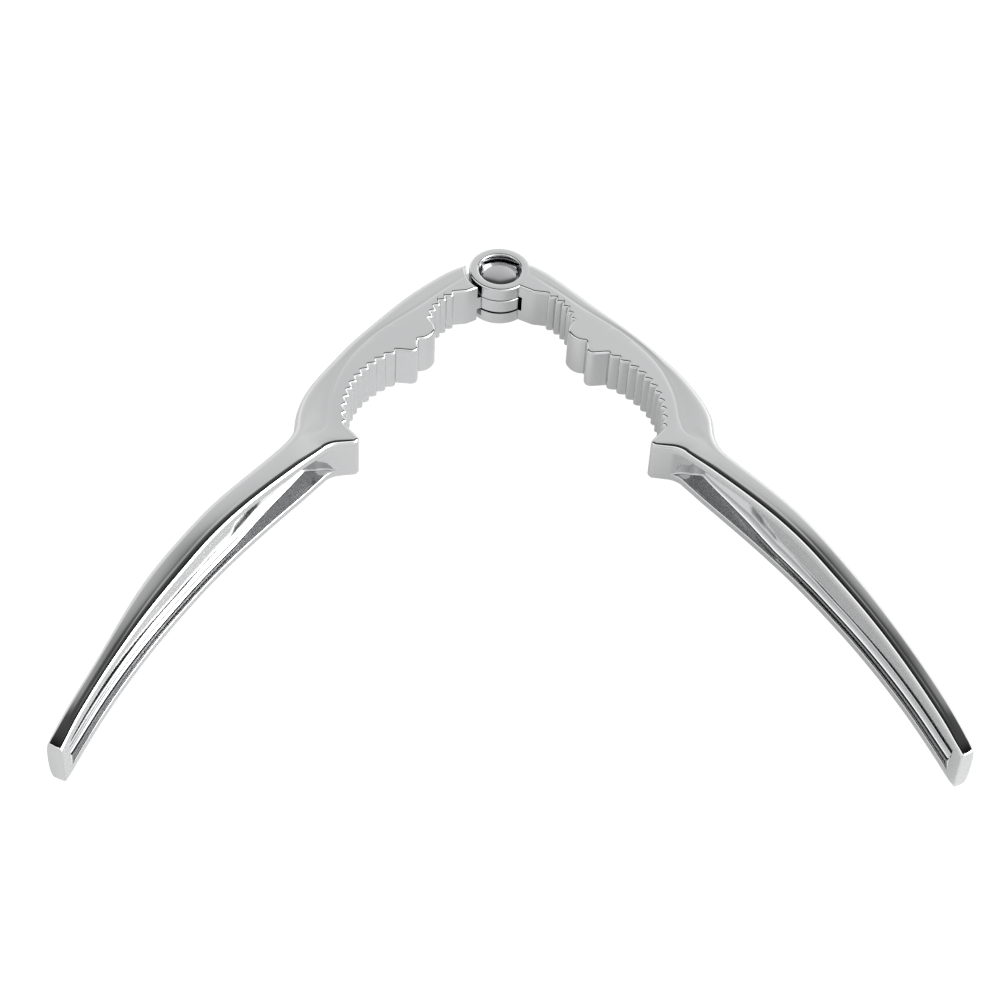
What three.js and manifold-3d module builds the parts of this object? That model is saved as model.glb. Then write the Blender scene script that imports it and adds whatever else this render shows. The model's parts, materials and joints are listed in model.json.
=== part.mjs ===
// Lever nutcracker: two die-cast levers on one hinge rivet. Millimetres, +Z up.
// Each lever is drawn in its own closed plan: pivot at the origin, parting plane
// x = 0, handle running towards -Y, mid-plane z = 0. The right lever ends in a fork,
// the left one is its mirror image and ends in the tongue that the fork holds.
import * as THREE from 'three';
import { mergeVertices } from 'three/addons/utils/BufferGeometryUtils.js';
import Module from 'manifold-3d';

const wasm = await Module();
wasm.setup();

// Driving dimensions
const JAW_HEIGHT = 11.4; // thickness of the jaws and of the hinge
const HANDLE_HEIGHT = 16; // thickness of the handles where the hand holds them
const EYE_RADIUS = 7.5; // outside of the fork's two lugs and of the tongue
const TONGUE_HEIGHT = 3.6;
const SLOT_GAP = 0.4; // play above and below the tongue
const SLOT_RADIUS = 8.3; // concave end of the fork's slot
const SHOULDER_RADIUS = 8.5; // concave shoulder of the tongue lever, around the lugs
const COUNTERBORE_RADIUS = 5.2;
const COUNTERBORE_DEPTH = 2.6;
const BORE_RADIUS = 2.8;
const SHANK_RADIUS = 2.5;
const FIT_GAP = 0.3; // between pieces that touch on the real hinge
const BACK_ROUND = 2.4; // rounding of the jaws' outer edges
const HANDLE_LENGTH = 172.2; // pivot to handle tip
const RIGHT_ANGLE = 33.9; // degrees that the right lever is swung out of its closed place
const LEFT_ANGLE = 26.4; // the same for the left lever

const HALF_JAW = JAW_HEIGHT / 2;
const HALF_HANDLE = HANDLE_HEIGHT / 2;
const radians = THREE.MathUtils.degToRad;

// Serrated scallops: start, end and depth of the arc, number of teeth, tooth height
const SMALL_SCALLOP = { from: [5.2, -13.0], to: [6.0, -23.6], sag: 1.2, teeth: 5 };
const LARGE_SCALLOP = { from: [7.1, -37.0], to: [5.4, -63.4], sag: 4.4, teeth: 11 };
const TOOTH_HEIGHT = 0.75;

// Lines of the handle along its length: [distance below the pivot, value]
const LIP_LINE = [[58, 2.0], [72.5, 5.05], [80, 6.6], [90, 8.6], [100, 10.25], [110, 11.25],
  [120, 11.55], [130, 11.57], [140, 11.15], [150, 10.3], [162, 8.7], [172.2, 6.9]];
const HALF_HEIGHT_LINE = [[58, HALF_JAW], [66, 5.9], [72, 6.3], [80, 6.95], [90, 7.6],
  [100, 7.98], [108, 8.1], [115, 7.95], [122, 7.65], [130, 7.4], [140, 7.15], [150, 6.85],
  [158, 6.7], [164, 6.55], [168, 6.3], [172.2, 5.6]];
const POCKET_START = 70;
const POCKET_END = 169;
const POCKET_LINE = [[70, -0.4], [74.8, 4.8], [78.2, 4.7], [83.2, 4.4], [90, 3.9], [95, 3.2],
  [100, 2.65], [110, 2.35], [120, 2.25], [140, 2.2], [161, 2.0], [166.5, 1.9], [169, -0.4]];

// Outer back of each lever: its jaw from the neck up to the hinge, then its handle
const FORK_BACK = {
  jaw: [[15.4, -70.0], [17.4, -66.8], [18.6, -63.0], [19.35, -57.0], [19.4, -50.0],
    [18.0, -40.0], [15.8, -29.0], [13.7, -19.0], [11.9, -11.0], [9.9, -4.6]],
  handle: [[58, 17.6], [66, 17.3], [71, 15.1], [75, 13.8], [82, 14.2], [91, 15.5], [101, 16.8],
    [113, 17.25], [124, 17.15], [136, 16.4], [150, 14.9], [162, 12.9], [172.2, 10.7]],
};
const TONGUE_BACK = {
  jaw: [[15.2, -70.0], [17.0, -66.8], [18.4, -63.0], [19.4, -57.0], [19.4, -50.0],
    [18.9, -40.0], [17.3, -29.0], [15.4, -19.0], [13.0, -11.0], [10.2, -4.6]],
  handle: [[58, 17.6], [66, 17.1], [71, 15.0], [75, 14.4], [82, 15.1], [91, 16.4], [101, 17.7],
    [113, 18.35], [124, 18.3], [136, 16.9], [150, 14.6], [162, 12.8], [172.2, 10.9]],
};

function lineThrough(points) {
  return new THREE.SplineCurve(points.map(([along, value]) => new THREE.Vector2(along, value)));
}

// Value of a line at one distance along the handle
function valueAt(curve, along) {
  let low = 0;
  let high = 1;
  for (let step = 0; step < 24; step += 1) {
    const middle = (low + high) / 2;
    if (curve.getPoint(middle).x < along) low = middle;
    else high = middle;
  }
  return curve.getPoint((low + high) / 2).y;
}

function toSolid(geometry) {
  const bare = geometry.index ? geometry.toNonIndexed() : geometry.clone();
  bare.deleteAttribute('normal');
  bare.deleteAttribute('uv');
  const merged = mergeVertices(bare, 1e-4);
  const mesh = new wasm.Mesh({
    numProp: 3,
    vertProperties: new Float32Array(merged.attributes.position.array),
    triVerts: new Uint32Array(merged.index.array),
  });
  return new wasm.Manifold(mesh);
}

function toGeometry(solid) {
  const mesh = solid.getMesh();
  const geometry = new THREE.BufferGeometry();
  geometry.setAttribute('position', new THREE.BufferAttribute(mesh.vertProperties, 3));
  geometry.setIndex(new THREE.BufferAttribute(mesh.triVerts, 1));
  return geometry;
}

// Upright plate from a plan shape, centred on a height
function plate(shape, height, centre = 0, curveSegments = 12) {
  const geometry = new THREE.ExtrudeGeometry(shape, { depth: height, bevelEnabled: false, curveSegments });
  geometry.translate(0, 0, centre - height / 2);
  return toSolid(geometry);
}

function disc(radius, height, centre = 0, segments = 48) {
  const geometry = new THREE.CylinderGeometry(radius, radius, height, segments);
  geometry.rotateX(Math.PI / 2);
  geometry.translate(0, 0, centre);
  return toSolid(geometry);
}

// Closed skin over equal rings of points, with flat ends; the rings follow each other
// towards -Y, and each one runs anticlockwise seen from -Y
function loft(rings) {
  const count = rings[0].length;
  const positions = rings.flat().flatMap((point) => [point.x, point.y, point.z]);
  const indices = [];
  for (let ring = 0; ring < rings.length - 1; ring += 1) {
    for (let side = 0; side < count; side += 1) {
      const a = ring * count + side;
      const b = ring * count + ((side + 1) % count);
      indices.push(a, b, a + count, b, b + count, a + count);
    }
  }
  const flat = rings[0].map((point) => new THREE.Vector2(point.x, point.z));
  const last = (rings.length - 1) * count;
  for (const [a, b, c] of THREE.ShapeUtils.triangulateShape(flat, [])) {
    indices.push(a, c, b);
    indices.push(last + a, last + b, last + c);
  }
  const geometry = new THREE.BufferGeometry();
  geometry.setAttribute('position', new THREE.Float32BufferAttribute(positions, 3));
  geometry.setIndex(indices);
  return toSolid(geometry);
}

// Points of one serrated scallop: rounded ribs on a circular arc that hollows the jaw
function scallopPoints({ from, to, sag, teeth }) {
  const start = new THREE.Vector2(...from);
  const end = new THREE.Vector2(...to);
  const chord = end.clone().sub(start);
  const outward = new THREE.Vector2(-chord.y, chord.x).normalize();
  const stepsPerTooth = 4;
  const steps = teeth * stepsPerTooth;
  const points = [];
  for (let step = 0; step <= steps; step += 1) {
    const along = step / steps;
    const hollow = sag * 4 * along * (1 - along);
    const wave = Math.abs(Math.sin((Math.PI * step) / stepsPerTooth));
    const rise = TOOTH_HEIGHT * wave;
    const point = start.clone().addScaledVector(chord, along);
    points.push(point.addScaledVector(outward, hollow + TOOTH_HEIGHT / 2 - rise));
  }
  return points;
}

// Nut side of the jaw, from the hinge to the nose: facet, small scallop, double bump,
// large scallop, and the beak that meets the other lever's beak when closed
function nutSide(shape) {
  shape.lineTo(3.0, -10.8);
  scallopPoints(SMALL_SCALLOP).forEach((point) => shape.lineTo(point.x, point.y));
  shape.quadraticCurveTo(3.4, -24.6, 2.9, -26.6);
  shape.quadraticCurveTo(2.5, -29.6, 4.8, -31.0);
  shape.quadraticCurveTo(4.9, -31.6, 3.6, -33.2);
  shape.quadraticCurveTo(2.8, -34.9, 4.6, -35.7);
  scallopPoints(LARGE_SCALLOP).forEach((point) => shape.lineTo(point.x, point.y));
  shape.lineTo(0.7, -65.5);
  shape.quadraticCurveTo(-0.2, -66.0, 0.3, -67.4);
}

// Plan of the jaw with its nut side; its outer side is cut later, by roundedBack
function jawShape(hingeStart) {
  const shape = new THREE.Shape();
  shape.moveTo(...hingeStart);
  nutSide(shape);
  shape.lineTo(3.6, -70.0);
  shape.lineTo(25.0, -70.0);
  shape.lineTo(25.0, -1.0);
  shape.lineTo(hingeStart[0], -1.0);
  shape.closePath();
  return shape;
}

// Wide block with the jaw's back outline and rounded top and bottom edges there
function roundedBack(back) {
  const shape = new THREE.Shape();
  shape.moveTo(-30, -90);
  shape.lineTo(14.0, -90);
  shape.lineTo(14.6, -72.5);
  shape.splineThru(back.jaw.map(([x, y]) => new THREE.Vector2(x, y)));
  shape.lineTo(7.6, 0);
  shape.lineTo(7.6, 30);
  shape.lineTo(-30, 30);
  shape.closePath();
  const geometry = new THREE.ExtrudeGeometry(shape, {
    depth: JAW_HEIGHT - 2 * BACK_ROUND,
    bevelThickness: BACK_ROUND,
    bevelSize: BACK_ROUND,
    bevelOffset: -BACK_ROUND,
    bevelSegments: 4,
    curveSegments: 4,
  });
  geometry.translate(0, 0, BACK_ROUND - HALF_JAW);
  return toSolid(geometry);
}

// One section of the handle: flat lip side, rounded back, small chamfers at the lips
function handleRing(along, lip, back, half) {
  const roundX = Math.min(3.2, (back - lip) * 0.6);
  const roundZ = half * 0.62;
  const chamfer = 0.35;
  const arcSteps = 5;
  const upper = [[lip, half - chamfer], [lip + chamfer, half]];
  for (let step = 0; step <= arcSteps; step += 1) {
    const angle = (Math.PI / 2) * (1 - step / arcSteps);
    const x = back - roundX + roundX * Math.cos(angle);
    upper.push([x, half - roundZ + roundZ * Math.sin(angle)]);
  }
  const lower = upper.map(([x, z]) => [x, -z]).reverse();
  return [...upper, ...lower].reverse().map(([x, z]) => new THREE.Vector3(x, -along, z));
}

function handleSolid(back) {
  const lipCurve = lineThrough(LIP_LINE);
  const backCurve = lineThrough(back.handle);
  const halfCurve = lineThrough(HALF_HEIGHT_LINE);
  const rings = [];
  const sections = 34;
  const start = 64;
  for (let section = 0; section <= sections; section += 1) {
    const along = start + ((HANDLE_LENGTH - start) * section) / sections;
    const half = Math.min(valueAt(halfCurve, along), HALF_HANDLE);
    rings.push(handleRing(along, valueAt(lipCurve, along), valueAt(backCurve, along), half));
  }
  return loft(rings);
}

// Hollow in the inner side of the handle: flat back wall, two lips left above and below
function pocketSolid() {
  const lipCurve = lineThrough(LIP_LINE);
  const halfCurve = lineThrough(HALF_HEIGHT_LINE);
  const depthCurve = lineThrough(POCKET_LINE);
  const lipHeight = 2.4;
  const rings = [];
  const sections = 40;
  for (let section = 0; section <= sections; section += 1) {
    const along = POCKET_START + ((POCKET_END - POCKET_START) * section) / sections;
    const half = Math.min(valueAt(halfCurve, along), HALF_HANDLE) - lipHeight;
    const lip = valueAt(lipCurve, along);
    const floor = lip + valueAt(depthCurve, along);
    const ring = [[lip - 3, -half - 0.6], [floor, 0.5 - half], [floor, half - 0.5], [lip - 3, half + 0.6]];
    rings.push(ring.map(([x, z]) => new THREE.Vector3(x, -along, z)));
  }
  return loft(rings);
}

// Full-height body that both levers share, without its hinge end
function leverBody(hingeStart, back) {
  const jaw = plate(jawShape(hingeStart), JAW_HEIGHT + 2).intersect(roundedBack(back));
  return jaw.add(handleSolid(back)).subtract(pocketSolid());
}

// Right lever: two lugs with counterbores, and the slot between them
function forkLever() {
  const slotHeight = TONGUE_HEIGHT + 2 * SLOT_GAP;
  const boreFloor = HALF_JAW - COUNTERBORE_DEPTH / 2;
  return leverBody([0.6, -7.0], FORK_BACK)
    .add(disc(EYE_RADIUS, JAW_HEIGHT))
    .subtract(disc(SLOT_RADIUS, slotHeight))
    .subtract(disc(BORE_RADIUS, 2 * JAW_HEIGHT))
    .subtract(disc(COUNTERBORE_RADIUS, COUNTERBORE_DEPTH + 0.02, boreFloor + 0.01))
    .subtract(disc(COUNTERBORE_RADIUS, COUNTERBORE_DEPTH + 0.02, -boreFloor - 0.01));
}

// Neck that carries the tongue out of the shoulder
function tongueNeck() {
  const shape = new THREE.Shape();
  shape.moveTo(0, 0);
  shape.lineTo(1.0, -7.4);
  shape.lineTo(3.4, -11.0);
  shape.lineTo(10.2, -7.0);
  shape.lineTo(7.4, -1.0);
  shape.closePath();
  return plate(shape, TONGUE_HEIGHT);
}

// Left lever before mirroring: concave shoulder and the tongue with its bore
function tongueLever() {
  return leverBody([1.0, -8.0], TONGUE_BACK)
    .subtract(disc(SHOULDER_RADIUS, 2 * JAW_HEIGHT, 0, 64))
    .add(disc(EYE_RADIUS, TONGUE_HEIGHT))
    .add(tongueNeck())
    .subtract(disc(BORE_RADIUS, 2 * JAW_HEIGHT));
}

function mirrored(geometry) {
  const flipped = geometry.clone();
  flipped.scale(-1, 1, 1);
  const index = flipped.index.array;
  for (let corner = 0; corner < index.length; corner += 3) {
    [index[corner], index[corner + 1]] = [index[corner + 1], index[corner]];
  }
  return flipped;
}

function lathe(profile, segments = 40) {
  const points = profile.map(([radius, height]) => new THREE.Vector2(radius, height));
  const geometry = new THREE.LatheGeometry(points, segments);
  geometry.rotateX(Math.PI / 2);
  return geometry;
}

// Rivet: domed head in the upper counterbore, shank, clinched hollow tail in the lower one
function rivetGeometry() {
  const seat = HALF_JAW - COUNTERBORE_DEPTH + FIT_GAP;
  const headRadius = 4.6;
  const dome = [];
  for (let step = 0; step <= 6; step += 1) {
    const angle = (Math.PI / 2) * (step / 6);
    dome.push([headRadius * Math.cos(angle), seat + 0.6 + 1.1 * Math.sin(angle)]);
  }
  dome[dome.length - 1][0] = 0;
  const profile = [
    [0, -seat + 0.6],
    [1.4, -seat + 0.1],
    [1.9, -seat - 1.7],
    [2.7, -seat - 1.9],
    [3.6, -seat - 1.5],
    [3.7, -seat - 1.1],
    [3.3, -seat - 0.9],
    [SHANK_RADIUS, -seat - 0.9],
    [SHANK_RADIUS, seat],
    [headRadius - 0.2, seat],
    ...dome,
  ];
  return lathe(profile);
}

// Flat washer between the clinched tail and the lower lug
function washerGeometry() {
  const top = -(HALF_JAW - COUNTERBORE_DEPTH + FIT_GAP);
  const bottom = top - 0.6;
  return lathe([
    [BORE_RADIUS, bottom],
    [4.5, bottom],
    [4.5, top],
    [BORE_RADIUS, top],
    [BORE_RADIUS, bottom],
  ]);
}

function piece(name, geometry, color, roughness) {
  const material = new THREE.MeshStandardMaterial({ color, roughness, metalness: 1 });
  const mesh = new THREE.Mesh(geometry, material);
  mesh.name = name;
  return mesh;
}

const rightLever = piece('right_lever', toGeometry(forkLever()), 0xc9cbcd, 0.12);
rightLever.rotation.z = radians(RIGHT_ANGLE);
const leftLever = piece('left_lever', mirrored(toGeometry(tongueLever())), 0xc9cbcd, 0.12);
leftLever.rotation.z = -radians(LEFT_ANGLE);
const rivet = piece('hinge_rivet', rivetGeometry(), 0x8b8d90, 0.2);
const washer = piece('rivet_washer', washerGeometry(), 0xa6a8aa, 0.3);

// The handles' undersides lie on z = 0, with the origin under the middle of the whole
const nutcracker = new THREE.Group();
nutcracker.add(rightLever, leftLever, rivet, washer);
nutcracker.updateMatrixWorld(true);
const middle = new THREE.Box3().setFromObject(nutcracker, true).getCenter(new THREE.Vector3());
nutcracker.position.set(-middle.x, -middle.y, HALF_HANDLE);
nutcracker.updateMatrixWorld(true);

export default nutcracker;
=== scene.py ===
# Lever nutcracker: two chromed die-cast levers on one hinge rivet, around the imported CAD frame.
# Lever lengths are millimetres in each lever's own closed plan: pivot at the origin, parting plane
# x = 0, handle running towards -Y, mid-plane z = 0. The left lever is the mirror image in x.
import json
import math

import bmesh
import bpy
import numpy as np
from mathutils import Matrix, Vector

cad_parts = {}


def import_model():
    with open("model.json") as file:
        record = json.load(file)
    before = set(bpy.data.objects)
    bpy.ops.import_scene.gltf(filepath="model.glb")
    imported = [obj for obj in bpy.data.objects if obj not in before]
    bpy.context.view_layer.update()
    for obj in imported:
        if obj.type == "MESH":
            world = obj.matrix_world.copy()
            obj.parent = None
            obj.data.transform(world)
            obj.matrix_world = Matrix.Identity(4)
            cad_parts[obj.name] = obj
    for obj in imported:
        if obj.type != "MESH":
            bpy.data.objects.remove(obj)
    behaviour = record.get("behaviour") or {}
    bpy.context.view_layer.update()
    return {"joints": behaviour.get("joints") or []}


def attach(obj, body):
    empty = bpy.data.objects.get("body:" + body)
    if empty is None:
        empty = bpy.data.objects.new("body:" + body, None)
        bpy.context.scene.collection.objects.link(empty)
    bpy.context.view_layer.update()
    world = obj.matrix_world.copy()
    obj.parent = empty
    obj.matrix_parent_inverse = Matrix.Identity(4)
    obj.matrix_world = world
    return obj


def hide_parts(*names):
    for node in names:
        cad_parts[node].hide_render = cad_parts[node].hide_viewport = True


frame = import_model()

# ---------------------------------------------------------------- driving dimensions, mm
HALF_JAW = 5.7  # half the thickness of the jaws and of the hinge
EYE_RADIUS = 7.5
TONGUE_HALF = 1.8
SLOT_HALF = 2.2
SLOT_RADIUS = 8.3
SHOULDER_RADIUS = 8.5
COUNTERBORE_RADIUS = 5.2
COUNTERBORE_DEPTH = 2.6
BORE_RADIUS = 2.8
SHANK_RADIUS = 2.5
HANDLE_LENGTH = 172.2
RIGHT_ANGLE = 33.9  # degrees that the right lever is swung out of its closed place
LEFT_ANGLE = 26.4
EDGE_FILLET = 0.65  # jaw's inner edges
RIM_FILLET = 0.5  # edges of the eye, the shoulder and the counterbores
LIP_ROUND_WIDE = 2.0  # handle's inner edges: an ellipse, wider than deep
LIP_ROUND_DEEP = 1.0
LIP_THICKNESS = 2.5  # lips above and below the handle's hollow
CROWN = 0.18  # rise of the handle's top from the lip to its crest
BACK_ROUNDING = 2.4
GROOVE_DEPTH = 0.06  # line between the jaw's flat land and its outer roll

# Serrated scallops: ends and depth of the arc, number of ribs; ribs are rounded, valleys sharp
SMALL_SCALLOP = {"start": (5.2, -13.0), "end": (6.0, -23.6), "sag": 1.2, "ribs": 5}
LARGE_SCALLOP = {"start": (7.1, -37.0), "end": (5.4, -63.4), "sag": 4.4, "ribs": 11}
RIB_HEIGHT = 1.05
RIB_STEPS = 12

# Lines along the lever: (distance below the pivot, value)
FORK_BACK = ((-1.5, 6.6), (0.0, 7.6), (4.6, 10.0), (11.0, 11.9), (19.0, 13.7), (29.0, 15.8),
             (40.0, 18.05), (50.0, 19.5), (57.0, 19.4), (63.0, 18.6), (67.0, 17.3), (71.0, 15.1),
             (75.0, 13.8), (82.0, 14.2), (91.0, 15.55), (101.0, 16.8), (113.0, 17.2), (124.0, 17.1),
             (136.0, 16.35), (150.0, 14.9), (162.0, 12.95), (172.2, 10.6))
TONGUE_BACK = ((-1.5, 6.6), (0.0, 7.45), (4.6, 10.4), (11.0, 13.1), (19.0, 15.45), (29.0, 17.3),
               (40.0, 18.85), (50.0, 19.4), (57.0, 19.4), (63.0, 18.4), (67.0, 16.9), (71.0, 15.0),
               (75.0, 14.5), (82.0, 15.1), (91.0, 16.4), (101.0, 17.7), (113.0, 18.3), (124.0, 18.3),
               (136.0, 16.9), (150.0, 14.5), (162.0, 12.75), (172.2, 11.0))
LIP_LINE = ((72.5, 5.05), (80.0, 6.6), (90.0, 8.6), (100.0, 10.25), (110.0, 11.25), (120.0, 11.55),
            (130.0, 11.57), (140.0, 11.15), (150.0, 10.3), (162.0, 8.7), (172.2, 6.9))
GROOVE_LINE = ((-2.0, 3.6), (8.0, 6.4), (14.0, 8.3), (19.3, 9.7), (25.2, 11.5), (32.6, 13.8),
               (40.0, 15.1), (46.7, 15.2), (53.5, 13.9), (58.3, 12.2), (65.5, 8.8), (72.0, 7.9))
CREST_LINE = ((-2.0, 5.7), (10.0, 5.7), (20.0, 5.7), (35.0, 5.73), (50.0, 5.8), (60.0, 5.95),
              (70.0, 6.3), (80.0, 6.95), (90.0, 7.55), (100.0, 7.95), (108.0, 8.0), (120.0, 7.65),
              (130.0, 7.4), (140.0, 7.15), (150.0, 6.85), (158.0, 6.7), (164.0, 6.55), (168.0, 6.3),
              (170.5, 6.0), (172.2, 5.6))
POCKET_LINE = ((70.2, 0.0), (74.8, 5.0), (78.2, 4.75), (83.2, 4.45), (90.0, 3.9), (95.0, 3.2),
               (100.0, 2.65), (110.0, 2.35), (120.0, 2.25), (140.0, 2.2), (161.0, 2.0),
               (166.5, 2.0), (168.8, 0.0))
# Radius of the hollow's inside corners
CORNER_LINE = ((70.0, 0.3), (76.0, 0.7), (90.0, 1.6), (105.0, 1.5), (170.0, 1.4))
# Rows of the back run nearly level with the rows of the nut side: (nut side y, back y)
ROW_LINE = ((-3.5, 1.0), (-7.0, -1.8), (-10.8, -6.5), (-15.0, -11.5), (-25.0, -23.0),
            (-35.0, -34.0), (-50.0, -50.0), (-63.4, -62.2), (-66.0, -65.3), (-70.0, -70.0),
            (-75.0, -75.0), (-180.0, -180.0))


# ---------------------------------------------------------------- columns of a section
LAND_SHARES = (0.12, 0.3, 0.55, 0.8, 1.0)  # over the flat land, towards the groove
GROOVE_OFFSETS = (0.2, 0.4, 0.65, 0.9, 1.1)  # across the groove
GROOVE_SHAPE = (0.4, 1.0, 0.75, 0.3, 0.1)  # its depth at those places
ROLL_SHARES = np.linspace(0, 1, 9)[1:]  # from the groove to the rounded back
HANDLE_GROOVE = 0.5  # where those columns lie on the handle, as a share of its width

# ---------------------------------------------------------------- small parts, mm
TONGUE_NECK = ((0, 0), (1.0, -7.4), (3.4, -11.0), (10.2, -7.0), (7.4, -1.0))
BORE_REACH = 7  # cutters run this far past the mid-plane
COUNTERBORE_FLARE = 0.4
FIT_GAP = 0.3  # between the rivet, the washer and their seats
RIVET_HEAD_RADIUS = 4.6
RIVET_DOME = 0.85  # rise of the head
WASHER_RADIUS = 4.5
WASHER_THICKNESS = 0.6
TIP_EDGE = 0.35  # rounding of the end face's edge

# ---------------------------------------------------------------- finish
PLATING_TINT = (0.55, 0.553, 0.558)
STEEL_TINT = (0.42, 0.42, 0.43)
CLOUD_SCALE = 55.0  # cloudiness in the gloss, per metre
SCRATCH_SCALE = (2600.0, 90.0, 900.0)  # hairlines, drawn out along Y
SCRATCH_STRENGTH = 0.02
SCRATCH_DEPTH = 0.0002

# ---------------------------------------------------------------- stage and camera, m
# Levels of the studio tent against the turn from the far horizon (0) over the top to the near one (1)
TENT_LEVELS = ((0.0, 0.66), (0.2, 0.6), (0.26, 0.52), (0.29, 0.46), (0.315, 0.36), (0.345, 0.06),
               (0.5, 0.004), (0.57, 0.01), (0.6, 0.92), (0.67, 0.85), (0.74, 0.46), (1.0, 0.5))
TENT_WRAP = 0.5  # how far the near side reaches round both sides
TENT_WRAP_RIGHT = 0.12  # how much further it reaches round the right one
TENT_SLOPE = 0.45  # how much brighter the right side is
TENT_SIDES = 0.8  # how much brighter both sides are
TENT_STRENGTH = 1.8
FLOOR_HALF = 3.0
FLOOR_LEVEL = -0.0004
FLOOR_GLOW = 0.35  # what the metal sees, besides the light that falls on the floor
FLOOR_SEEN = 1.05  # what the camera sees
FLOOR_TINT = (0.5, 0.5, 0.5, 1)
KEY_PLACE = (0.7, -0.15, 0.4)
KEY_SIZE = 0.7
KEY_POWER = 9.0
CAMERA_FROM_HINGE = (0.0032975, -0.4642085, 0.4357)
CAMERA_PITCH = 47.88  # degrees below the horizon, looking towards +Y
CAMERA_ROLL = 3.398
CAMERA_LENS = 93.6
CAMERA_SENSOR = 36.0


# ---------------------------------------------------------------- curves
def spline(points):
    """Natural cubic spline through (x, y) points, as a function of x."""
    x, y = np.array(points, float).T
    step = np.diff(x)
    matrix = np.eye(len(x))
    right = np.zeros(len(x))
    for i in range(1, len(x) - 1):
        matrix[i, i - 1:i + 2] = step[i - 1], 2 * (step[i - 1] + step[i]), step[i]
        right[i] = 6 * ((y[i + 1] - y[i]) / step[i] - (y[i] - y[i - 1]) / step[i - 1])
    bend = np.linalg.solve(matrix, right)

    def value(at):
        at = np.clip(at, x[0], x[-1])
        i = np.clip(np.searchsorted(x, at) - 1, 0, len(step) - 1)
        before = at - x[i]
        after = x[i + 1] - at
        curved = (bend[i] * after ** 3 + bend[i + 1] * before ** 3) / (6 * step[i])
        low = (y[i] / step[i] - bend[i] * step[i] / 6) * after
        high = (y[i + 1] / step[i] - bend[i + 1] * step[i] / 6) * before
        return curved + low + high

    return value


def linear(points):
    x, y = np.array(sorted(points), float).T
    return lambda at: np.interp(at, x, y)


def smoothstep(low, high, at):
    t = np.clip((np.asarray(at, float) - low) / (high - low), 0, 1)
    return t * t * (3 - 2 * t)


def quadratic(start, control, end, steps):
    """Points of a quadratic curve, without its start."""
    a, b, c = (np.array(p, float) for p in (start, control, end))
    t = np.linspace(0, 1, steps + 1)[1:, None]
    return (1 - t) ** 2 * a + 2 * t * (1 - t) * b + t ** 2 * c


def straight(start, end, steps):
    t = np.linspace(0, 1, steps + 1)[1:, None]
    return (1 - t) * np.array(start, float) + t * np.array(end, float)


def scallop(start, end, sag, ribs):
    """Rounded ribs along a hollow arc."""
    a = np.array(start, float)
    chord = np.array(end, float) - a
    outward = np.array((-chord[1], chord[0])) / np.hypot(*chord)
    steps = ribs * RIB_STEPS
    along = np.linspace(0, 1, steps + 1)[:, None]
    wave = np.abs(np.sin(np.pi * along * ribs))
    hollow = sag * 4 * along * (1 - along) + RIB_HEIGHT / 2 - RIB_HEIGHT * wave
    return a + chord * along + outward * hollow


lip_at = spline(LIP_LINE)
groove_at = spline(GROOVE_LINE)
crest_at = spline(CREST_LINE)
pocket_at = linear(POCKET_LINE)
corner_at = linear(CORNER_LINE)
row_at = linear(ROW_LINE)


# ---------------------------------------------------------------- lever body
def inner_outline():
    """Plan of the lever's inner side from the hinge to the handle's tip."""
    small = scallop(**SMALL_SCALLOP)
    large = scallop(**LARGE_SCALLOP)
    parts = [
        straight((0.3, -3.0), (0.8, -7.2), 4),
        straight((0.8, -7.2), (3.0, -10.8), 5),
        straight((3.0, -10.8), small[0], 4)[:-1],
        small,
        quadratic(small[-1], (3.4, -24.6), (2.9, -26.6), 8),
        quadratic((2.9, -26.6), (2.5, -29.6), (4.8, -31.0), 10),
        quadratic((4.8, -31.0), (4.9, -31.6), (3.6, -33.2), 8),
        quadratic((3.6, -33.2), (2.8, -34.9), (4.6, -35.7), 8),
        straight((4.6, -35.7), large[0], 4)[:-1],
        large,
        straight(large[-1], (0.7, -65.5), 6),
        quadratic((0.7, -65.5), (-0.2, -66.0), (0.3, -67.4), 8),
        straight((0.3, -67.4), (3.2, -69.7), 5),
        quadratic((3.2, -69.7), (4.5, -70.7), (5.1, -72.5), 6),
    ]
    along = np.concatenate((np.arange(73.0, 76.0, 0.5), np.arange(76.0, 164.0, 1.0),
                            np.arange(164.0, HANDLE_LENGTH - 0.4, 0.4)))
    parts.append(np.stack((lip_at(along), -along), 1))
    return np.concatenate(parts)


def outline_normals(points):
    """Unit vectors into the metal, from the outline's tangents."""
    tangent = np.gradient(points, axis=0)
    tangent /= np.linalg.norm(tangent, axis=1)[:, None]
    return np.stack((-tangent[:, 1], tangent[:, 0]), 1)


def ellipse_arc(steps, power):
    """Quarter of a superellipse from (0, 1) to (1, 0)."""
    angle = np.linspace(0, np.pi / 2, steps + 1)
    return np.sin(angle) ** (2 / power), np.cos(angle) ** (2 / power)


def pocket_columns(inner, normal, distance, ceiling, lip_edge):
    """Columns of the handle's hollow, from its back wall to the edge of the lip above it."""
    depth = max(0.0, float(pocket_at(distance)))
    corner = min(float(corner_at(distance)), depth * 0.6)
    edge = min(0.35, depth * 0.3)
    spread = [(depth, (ceiling - corner) * share) for share in (0.0, 0.4, 0.8)]
    for angle in np.linspace(0, np.pi / 2, 10):
        spread.append((depth - corner * (1 - math.cos(angle)), ceiling - corner * (1 - math.sin(angle))))
    spread.append(((depth - corner) * 0.5 + edge * 0.5, ceiling))
    for angle in np.linspace(0, np.pi / 2, 4):
        spread.append((edge * (1 - math.sin(angle)), ceiling + edge * (1 - math.cos(angle))))
    spread.append((0.0, 0.5 * (ceiling + edge + lip_edge)))
    level = np.maximum.accumulate([height + 0.004 * i for i, (_, height) in enumerate(spread)])
    return [inner + normal * reach for reach, _ in spread], list(level)


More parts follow.
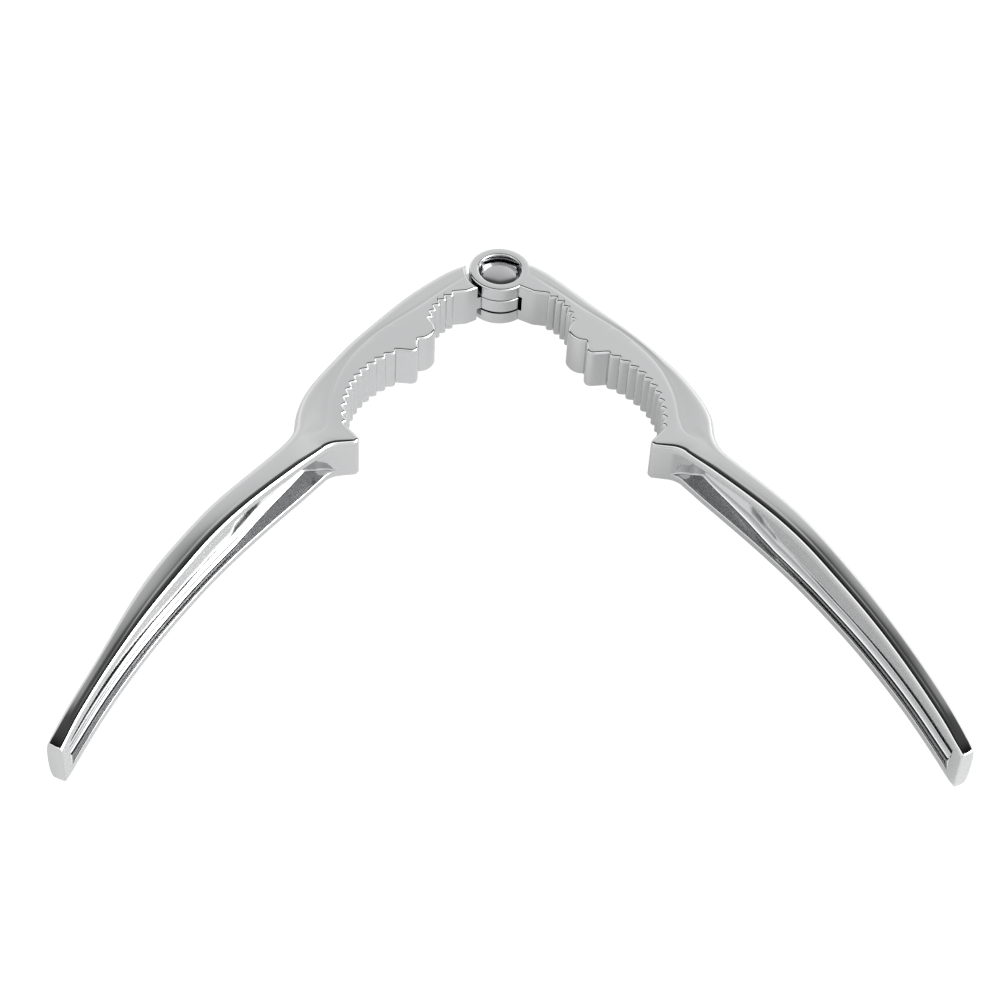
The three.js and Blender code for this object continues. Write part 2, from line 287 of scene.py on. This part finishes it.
def upper_section(inner, normal, back, groove, crest, distance, inset):
    """Columns of one section's upper half, from the inner side's middle over the top to the back's
    middle: plan positions and heights."""
    handle = float(smoothstep(62.0, 80.0, distance))
    tip = float(smoothstep(164.0, 171.0, distance))
    across = float(np.hypot(*(back - inner)))
    deep = EDGE_FILLET + (LIP_ROUND_DEEP - 0.3 * tip - EDGE_FILLET) * handle
    wide = EDGE_FILLET + (min(LIP_ROUND_WIDE, 0.3 * across) - 0.3 * tip - EDGE_FILLET) * handle
    crest = crest - inset
    land = HALF_JAW - inset + (crest - CROWN - HALF_JAW + inset) * float(smoothstep(66.0, 80.0, distance))
    plan, height = pocket_columns(inner, normal, distance, land - LIP_THICKNESS, land - deep)
    for angle in np.linspace(0, np.pi / 2, 12):
        plan.append(inner + normal * wide * (1 - math.cos(angle)))
        height.append(land - deep + deep * math.sin(angle))
    edge = plan[-1]
    outward = (back - groove) / float(np.hypot(*(back - groove)))
    rounding = min(BACK_ROUNDING - 1.2 * tip, 0.62 * float(np.hypot(*(back - groove))))
    start = back - outward * rounding
    scale = min(1.0, float(np.hypot(*(back - groove))) / 3.0)
    near = groove - outward * 0.4 * scale
    far = groove + outward * 0.7 * scale
    tops = [edge + (near - edge) * share for share in LAND_SHARES]
    tops += [near + outward * offset * scale for offset in GROOVE_OFFSETS]
    tops += [far + (start - far) * share for share in ROLL_SHARES]
    dip = GROOVE_DEPTH * (1 - handle) * float(smoothstep(4.0, 16.0, distance))
    jaw = [land] * len(LAND_SHARES) + [land - dip * share for share in GROOVE_SHAPE]
    jaw += [land + (crest - land) * float(smoothstep(0, 1, share)) for share in ROLL_SHARES]
    for point, level in zip(tops, jaw):
        share = float(np.hypot(*(point - edge)) / np.hypot(*(start - edge)))
        crown = land + (crest - land) * (1 - (1 - min(share, 1.0)) ** 2)
        plan.append(point)
        height.append(level + (crown - level) * handle)
    over, down = ellipse_arc(12, 2.5)
    for share, level in zip(over[1:], down[1:]):
        plan.append(start + (back - start) * share)
        height.append(crest * level)
    return np.array(plan), np.array(height)


def section(inner, normal, back, groove, crest, distance, inset=0.0):
    """Whole closed section, upper half and its mirror image."""
    plan, height = upper_section(inner, normal, back, groove, crest, distance, inset)
    upper = np.column_stack((plan, height))
    lower = upper[1:-1][::-1] * (1, 1, -1)
    return np.concatenate((upper, lower))


def lever_rows(back_line):
    """Sections of the lever's body from the hinge to the tip."""
    back_at = spline(back_line)
    inner = inner_outline()
    normals = outline_normals(inner)
    rows = []
    for point, normal in zip(inner, normals):
        distance = -point[1]
        outer_y = float(row_at(point[1]))
        back = np.array((float(back_at(-outer_y)), outer_y))
        groove_y = point[1] + (outer_y - point[1]) * 0.6
        jaw_groove = float(groove_at(-groove_y))
        handle = float(smoothstep(63.0, 72.0, distance))
        handle_groove = point[0] + (back[0] - point[0]) * HANDLE_GROOVE
        groove = np.array((jaw_groove + (handle_groove - jaw_groove) * handle, groove_y))
        crest = float(crest_at(-outer_y))
        rows.append(section(point, normal, back, groove, crest, distance))
    rows.extend(tip_rows(back_at))
    return rows


def tip_rows(back_at):
    """Rounded edge around the flat end face."""
    rows = []
    for angle in np.linspace(0, np.pi / 2, 6):
        inset = TIP_EDGE * (1 - math.cos(angle))
        distance = HANDLE_LENGTH - TIP_EDGE + TIP_EDGE * math.sin(angle)
        inner = np.array((float(lip_at(distance)) + inset, -distance))
        back = np.array((float(back_at(distance)) - inset, -distance))
        groove = inner + (back - inner) * HANDLE_GROOVE
        crest = float(crest_at(distance))
        rows.append(section(inner, np.array((1.0, 0.0)), back, groove, crest, distance, inset))
    return rows


# ---------------------------------------------------------------- mesh helpers
def mesh_object(name, bm):
    bmesh.ops.remove_doubles(bm, verts=bm.verts, dist=1e-5)
    bmesh.ops.recalc_face_normals(bm, faces=bm.faces)
    mesh = bpy.data.meshes.new(name)
    bm.to_mesh(mesh)
    bm.free()
    made = bpy.data.objects.new(name, mesh)
    bpy.context.scene.collection.objects.link(made)
    return made


def skin(name, rows):
    """Closed skin over equal rings of points, with flat ends."""
    bm = bmesh.new()
    rings = [[bm.verts.new(point) for point in row] for row in rows]
    count = len(rings[0])
    for ring, following in zip(rings, rings[1:]):
        for i in range(count):
            j = (i + 1) % count
            bm.faces.new((ring[i], ring[j], following[j], following[i]))
    bm.faces.new(rings[0])
    bm.faces.new(rings[-1])
    return mesh_object(name, bm)


def lathe(name, profile, segments=128):
    """Solid of revolution about Z from a closed profile of (radius, height)."""
    bm = bmesh.new()
    rings = []
    for radius, height in profile:
        if radius < 1e-6:
            rings.append([bm.verts.new((0, 0, height))] * segments)
            continue
        turns = [2 * math.pi * i / segments for i in range(segments)]
        rings.append([bm.verts.new((radius * math.cos(t), radius * math.sin(t), height)) for t in turns])
    for k in range(len(rings)):
        ring, following = rings[k], rings[(k + 1) % len(rings)]
        for i in range(segments):
            j = (i + 1) % segments
            corners = []
            for corner in (ring[i], ring[j], following[j], following[i]):
                if corner not in corners:
                    corners.append(corner)
            if len(corners) > 2:
                bm.faces.new(corners)
    return mesh_object(name, bm)


def plate(name, outline, half):
    """Upright plate from a plan outline."""
    bm = bmesh.new()
    low = [bm.verts.new((x, y, -half)) for x, y in outline]
    high = [bm.verts.new((x, y, half)) for x, y in outline]
    count = len(outline)
    for i in range(count):
        j = (i + 1) % count
        bm.faces.new((low[i], low[j], high[j], high[i]))
    bm.faces.new(low)
    bm.faces.new(high)
    return mesh_object(name, bm)


def combine(target, tool, operation):
    """Applies one exact boolean and removes its tool."""
    modifier = target.modifiers.new("combine", "BOOLEAN")
    modifier.solver = "EXACT"
    modifier.operation = operation
    modifier.object = tool
    graph = bpy.context.evaluated_depsgraph_get()
    mesh = bpy.data.meshes.new_from_object(target.evaluated_get(graph))
    target.modifiers.clear()
    target.data = mesh
    bpy.data.objects.remove(tool)


def rounded(corner, before, after, radius, steps=5):
    """Arc that rounds one right-angled corner of a profile."""
    corner = np.array(corner, float)
    before = np.array(before, float)
    after = np.array(after, float)
    centre = corner + (before + after) * radius
    arc = []
    for angle in np.linspace(0, np.pi / 2, steps + 1):
        arc.append(tuple(centre - after * radius * math.cos(angle) - before * radius * math.sin(angle)))
    return arc


def disc_profile(radius, half, fillet):
    """Disc with rounded rims."""
    upper = rounded((radius, half), (-1, 0), (0, -1), fillet)
    lower = rounded((radius, -half), (0, 1), (-1, 0), fillet)
    return [(0, half), *upper, *lower, (0, -half)]


def flared_bore(radius, top, bottom, flare):
    """Cutter for a hole whose mouth at the top is rounded over."""
    arc = []
    for angle in np.linspace(0, np.pi / 2, 6):
        arc.append((radius + flare * (1 - math.cos(angle)), top - flare + flare * math.sin(angle)))
    return [(0, bottom), (radius, bottom), *arc, (radius + flare, top + 1.0), (0, top + 1.0)]


def finish_surface(made, matrix, angle=32.0):
    made.data.transform(matrix)
    if matrix.determinant() < 0:
        made.data.flip_normals()
    made.data.polygons.foreach_set("use_smooth", [True] * len(made.data.polygons))
    made.data.set_sharp_from_angle(angle=math.radians(angle))
    weighted = made.modifiers.new("weighted normals", "WEIGHTED_NORMAL")
    weighted.keep_sharp = True
    weighted.weight = 80


# ---------------------------------------------------------------- the pieces
def through_bore():
    reach = BORE_REACH
    return lathe("bore", [(0, reach), (BORE_RADIUS, reach), (BORE_RADIUS, -reach), (0, -reach)])


def fork_body():
    lever = skin("lever_fork_side", lever_rows(FORK_BACK))
    combine(lever, lathe("eye", disc_profile(EYE_RADIUS, HALF_JAW + 0.002, RIM_FILLET)), "UNION")
    slot = [(0, SLOT_HALF), (SLOT_RADIUS, SLOT_HALF), (SLOT_RADIUS, -SLOT_HALF), (0, -SLOT_HALF)]
    combine(lever, lathe("slot", slot), "DIFFERENCE")
    seat = HALF_JAW - COUNTERBORE_DEPTH
    upper = flared_bore(COUNTERBORE_RADIUS, HALF_JAW + 0.002, seat, COUNTERBORE_FLARE)
    combine(lever, lathe("upper_counterbore", upper), "DIFFERENCE")
    lower = [(radius, -height) for radius, height in upper]
    combine(lever, lathe("lower_counterbore", lower), "DIFFERENCE")
    combine(lever, through_bore(), "DIFFERENCE")
    return lever


def shoulder_profile():
    """Cutter that leaves a concave shoulder with rounded edges."""
    upper = []
    for angle in np.linspace(0, np.pi / 2, 6):
        radius = SHOULDER_RADIUS + RIM_FILLET * (1 - math.cos(angle))
        upper.append((radius, HALF_JAW - RIM_FILLET + RIM_FILLET * math.sin(angle)))
    upper.append((SHOULDER_RADIUS + RIM_FILLET, HALF_JAW + 3))
    upper.append((0, HALF_JAW + 3))
    lower = [(radius, -height) for radius, height in upper]
    return upper[::-1] + lower


def tongue_body():
    lever = skin("lever_tongue_side", lever_rows(TONGUE_BACK))
    combine(lever, lathe("shoulder", shoulder_profile()), "DIFFERENCE")
    combine(lever, lathe("tongue", disc_profile(EYE_RADIUS, TONGUE_HALF, 0.3)), "UNION")
    combine(lever, plate("neck", TONGUE_NECK, TONGUE_HALF - 0.003), "UNION")
    combine(lever, through_bore(), "DIFFERENCE")
    return lever


def rivet_body():
    """Domed head above, shank, clinched hollow tail below."""
    seat = HALF_JAW - COUNTERBORE_DEPTH + FIT_GAP
    head = RIVET_HEAD_RADIUS
    profile = [(0, -seat + 0.6), (0.8, -seat + 0.55), (1.4, -seat + 0.1), (1.7, -seat - 0.9),
               (1.9, -seat - 1.5), (2.3, -seat - 1.85), (2.9, -seat - 1.9), (3.4, -seat - 1.65),
               (3.7, -seat - 1.3), (3.6, -seat - 1.0), (3.3, -seat - 0.9), (SHANK_RADIUS, -seat - 0.9),
               (SHANK_RADIUS, seat), (head - 0.25, seat), (head - 0.08, seat + 0.07)]
    for angle in np.linspace(0, np.pi / 2, 14):
        profile.append((head * math.cos(angle), seat + 0.25 + RIVET_DOME * math.sin(angle)))
    profile[-1] = (0, seat + 0.25 + RIVET_DOME)
    return lathe("rivet", profile, 96)


def washer_body():
    top = -(HALF_JAW - COUNTERBORE_DEPTH + FIT_GAP)
    bottom = top - WASHER_THICKNESS
    inner, outer, soft = BORE_RADIUS, WASHER_RADIUS, 0.12
    profile = [(inner + soft, top), (outer - soft, top), (outer, top - soft), (outer, bottom + soft),
               (outer - soft, bottom), (inner + soft, bottom), (inner, bottom + soft), (inner, top - soft)]
    return lathe("washer", profile, 96)


# ---------------------------------------------------------------- materials
def chrome(name, tint, roughness, spread):
    """Polished plating: soft cloudiness in the gloss, hairline scratches."""
    material = bpy.data.materials.new(name)
    material.use_nodes = True
    nodes, links = material.node_tree.nodes, material.node_tree.links
    shader = nodes["Principled BSDF"]
    shader.inputs["Base Color"].default_value = (*tint, 1)
    shader.inputs["Metallic"].default_value = 1.0
    place = nodes.new("ShaderNodeTexCoord")
    cloud = nodes.new("ShaderNodeTexNoise")
    cloud.inputs["Scale"].default_value = CLOUD_SCALE
    cloud.inputs["Detail"].default_value = 5.0
    links.new(place.outputs["Object"], cloud.inputs["Vector"])
    gloss = nodes.new("ShaderNodeMapRange")
    gloss.inputs["From Min"].default_value = 0.3
    gloss.inputs["From Max"].default_value = 0.7
    gloss.inputs["To Min"].default_value = roughness - spread
    gloss.inputs["To Max"].default_value = roughness + spread
    links.new(cloud.outputs["Fac"], gloss.inputs["Value"])
    links.new(gloss.outputs["Result"], shader.inputs["Roughness"])
    stretch = nodes.new("ShaderNodeMapping")
    stretch.inputs["Scale"].default_value = SCRATCH_SCALE
    links.new(place.outputs["Object"], stretch.inputs["Vector"])
    hair = nodes.new("ShaderNodeTexNoise")
    hair.inputs["Scale"].default_value = 1.0
    hair.inputs["Detail"].default_value = 3.0
    links.new(stretch.outputs["Vector"], hair.inputs["Vector"])
    bump = nodes.new("ShaderNodeBump")
    bump.inputs["Strength"].default_value = SCRATCH_STRENGTH
    bump.inputs["Distance"].default_value = SCRATCH_DEPTH
    links.new(hair.outputs["Fac"], bump.inputs["Height"])
    links.new(bump.outputs["Normal"], shader.inputs["Normal"])
    return material


# ---------------------------------------------------------------- assembly
def place_matrix(angle, mirror):
    """From a lever's plan in millimetres to the frame in metres."""
    pivot = Vector(frame["joints"][0]["pos_m"])
    turn = Matrix.Rotation(math.radians(angle), 4, "Z")
    flip = Matrix.Diagonal((-1 if mirror else 1, 1, 1, 1))
    return Matrix.Translation(pivot) @ turn @ flip @ Matrix.Scale(0.001, 4)


def build():
    plating = chrome("chrome_plating", PLATING_TINT, 0.09, 0.025)
    steel = chrome("rivet_steel", STEEL_TINT, 0.14, 0.04)
    fork = fork_body()
    finish_surface(fork, place_matrix(RIGHT_ANGLE, False))
    tongue = tongue_body()
    finish_surface(tongue, place_matrix(-LEFT_ANGLE, True))
    rivet = rivet_body()
    finish_surface(rivet, place_matrix(0, False), 40.0)
    washer = washer_body()
    finish_surface(washer, place_matrix(0, False), 40.0)
    for made, node, body, slot, material in (
        (fork, "right_lever", "fork_side", "lever_plate", plating),
        (tongue, "left_lever", "tongue_side", "lever_plate", plating),
        (rivet, "hinge_rivet", "fork_side", "rivet_steel", steel),
        (washer, "rivet_washer", "fork_side", "rivet_steel", steel),
    ):
        made.data.materials.clear()
        made.data.materials.append(material)
        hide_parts(node)
        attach(made, body)


# ---------------------------------------------------------------- stage, light, camera
def floor():
    """Plain pale floor; the metal sees it dimmer than the camera does."""
    bm = bmesh.new()
    half = FLOOR_HALF
    corners = ((-half, -half), (half, -half), (half, half), (-half, half))
    bm.faces.new([bm.verts.new((x, y, FLOOR_LEVEL)) for x, y in corners])
    made = mesh_object("floor", bm)
    material = bpy.data.materials.new("pale_floor")
    material.use_nodes = True
    nodes, links = material.node_tree.nodes, material.node_tree.links
    nodes.clear()
    output = nodes.new("ShaderNodeOutputMaterial")
    glow = nodes.new("ShaderNodeEmission")
    glow.inputs["Strength"].default_value = FLOOR_GLOW
    seen = nodes.new("ShaderNodeEmission")
    seen.inputs["Strength"].default_value = FLOOR_SEEN
    paper = nodes.new("ShaderNodeBsdfDiffuse")
    paper.inputs["Color"].default_value = FLOOR_TINT
    both = nodes.new("ShaderNodeAddShader")
    links.new(glow.outputs["Emission"], both.inputs[0])
    links.new(paper.outputs["BSDF"], both.inputs[1])
    path = nodes.new("ShaderNodeLightPath")
    choice = nodes.new("ShaderNodeMixShader")
    links.new(path.outputs["Is Camera Ray"], choice.inputs["Fac"])
    links.new(both.outputs["Shader"], choice.inputs[1])
    links.new(seen.outputs["Emission"], choice.inputs[2])
    links.new(choice.outputs["Shader"], output.inputs["Surface"])
    made.data.materials.append(material)


def softbox(name, place, target, size, power):
    """Square area light that points at a place."""
    data = bpy.data.lights.new(name, "AREA")
    data.size = size
    data.energy = power
    made = bpy.data.objects.new(name, data)
    bpy.context.scene.collection.objects.link(made)
    aim = Vector(target) - Vector(place)
    made.matrix_world = Matrix.Translation(place) @ aim.to_track_quat("-Z", "Y").to_matrix().to_4x4()


def world():
    """Studio tent: pale far side, dark gap overhead, bright near side; brighter to the right."""
    made = bpy.data.worlds.new("studio")
    bpy.context.scene.world = made
    made.use_nodes = True
    nodes, links = made.node_tree.nodes, made.node_tree.links
    background = nodes["Background"]

    def math_node(operation, first, second):
        node = nodes.new("ShaderNodeMath")
        node.operation = operation
        for socket, value in zip(node.inputs, (first, second)):
            if isinstance(value, float):
                socket.default_value = value
            elif value is not None:
                links.new(value, socket)
        return node.outputs["Value"]

    place = nodes.new("ShaderNodeTexCoord")
    parts = nodes.new("ShaderNodeSeparateXYZ")
    links.new(place.outputs["Generated"], parts.inputs["Vector"])
    side = math_node("ABSOLUTE", parts.outputs["X"], None)
    wrap = math_node("MULTIPLY", side, TENT_WRAP)
    more = math_node("MULTIPLY", parts.outputs["X"], TENT_WRAP_RIGHT)
    away = math_node("SUBTRACT", parts.outputs["Y"], math_node("ADD", wrap, more))
    turn = math_node("ARCTAN2", parts.outputs["Z"], away)
    share = math_node("DIVIDE", turn, math.pi)
    ramp = nodes.new("ShaderNodeValToRGB")
    links.new(share, ramp.inputs["Fac"])
    elements = ramp.color_ramp.elements
    while len(elements) < len(TENT_LEVELS):
        elements.new(0.5)
    for element, (position, level) in zip(elements, TENT_LEVELS):
        element.position = position
        element.color = (level, level, level, 1)
    links.new(ramp.outputs["Color"], background.inputs["Color"])
    slope = math_node("MULTIPLY", parts.outputs["X"], TENT_SLOPE)
    sides = math_node("MULTIPLY", side, TENT_SIDES)
    lean = math_node("ADD", math_node("ADD", slope, sides), 1.0)
    links.new(math_node("MULTIPLY", lean, TENT_STRENGTH), background.inputs["Strength"])


def camera():
    data = bpy.data.cameras.new("camera")
    data.lens = CAMERA_LENS
    data.sensor_width = CAMERA_SENSOR
    made = bpy.data.objects.new("camera", data)
    bpy.context.scene.collection.objects.link(made)
    pitch = math.radians(CAMERA_PITCH)
    roll = math.radians(CAMERA_ROLL)
    forward = Vector((0, math.cos(pitch), -math.sin(pitch)))
    level = Vector((1, 0, 0))
    upright = level.cross(forward)
    right = math.cos(roll) * level + math.sin(roll) * upright
    up = math.cos(roll) * upright - math.sin(roll) * level
    turn = Matrix((right, up, -forward)).transposed().to_4x4()
    place = Vector(frame["joints"][0]["pos_m"]) + Vector(CAMERA_FROM_HINGE)
    made.matrix_world = Matrix.Translation(place) @ turn
    bpy.context.scene.camera = made


camera()
build()
floor()
world()
softbox("key", KEY_PLACE, (0, 0, 0), KEY_SIZE, KEY_POWER)
bpy.context.scene.view_settings.view_transform = "Standard"
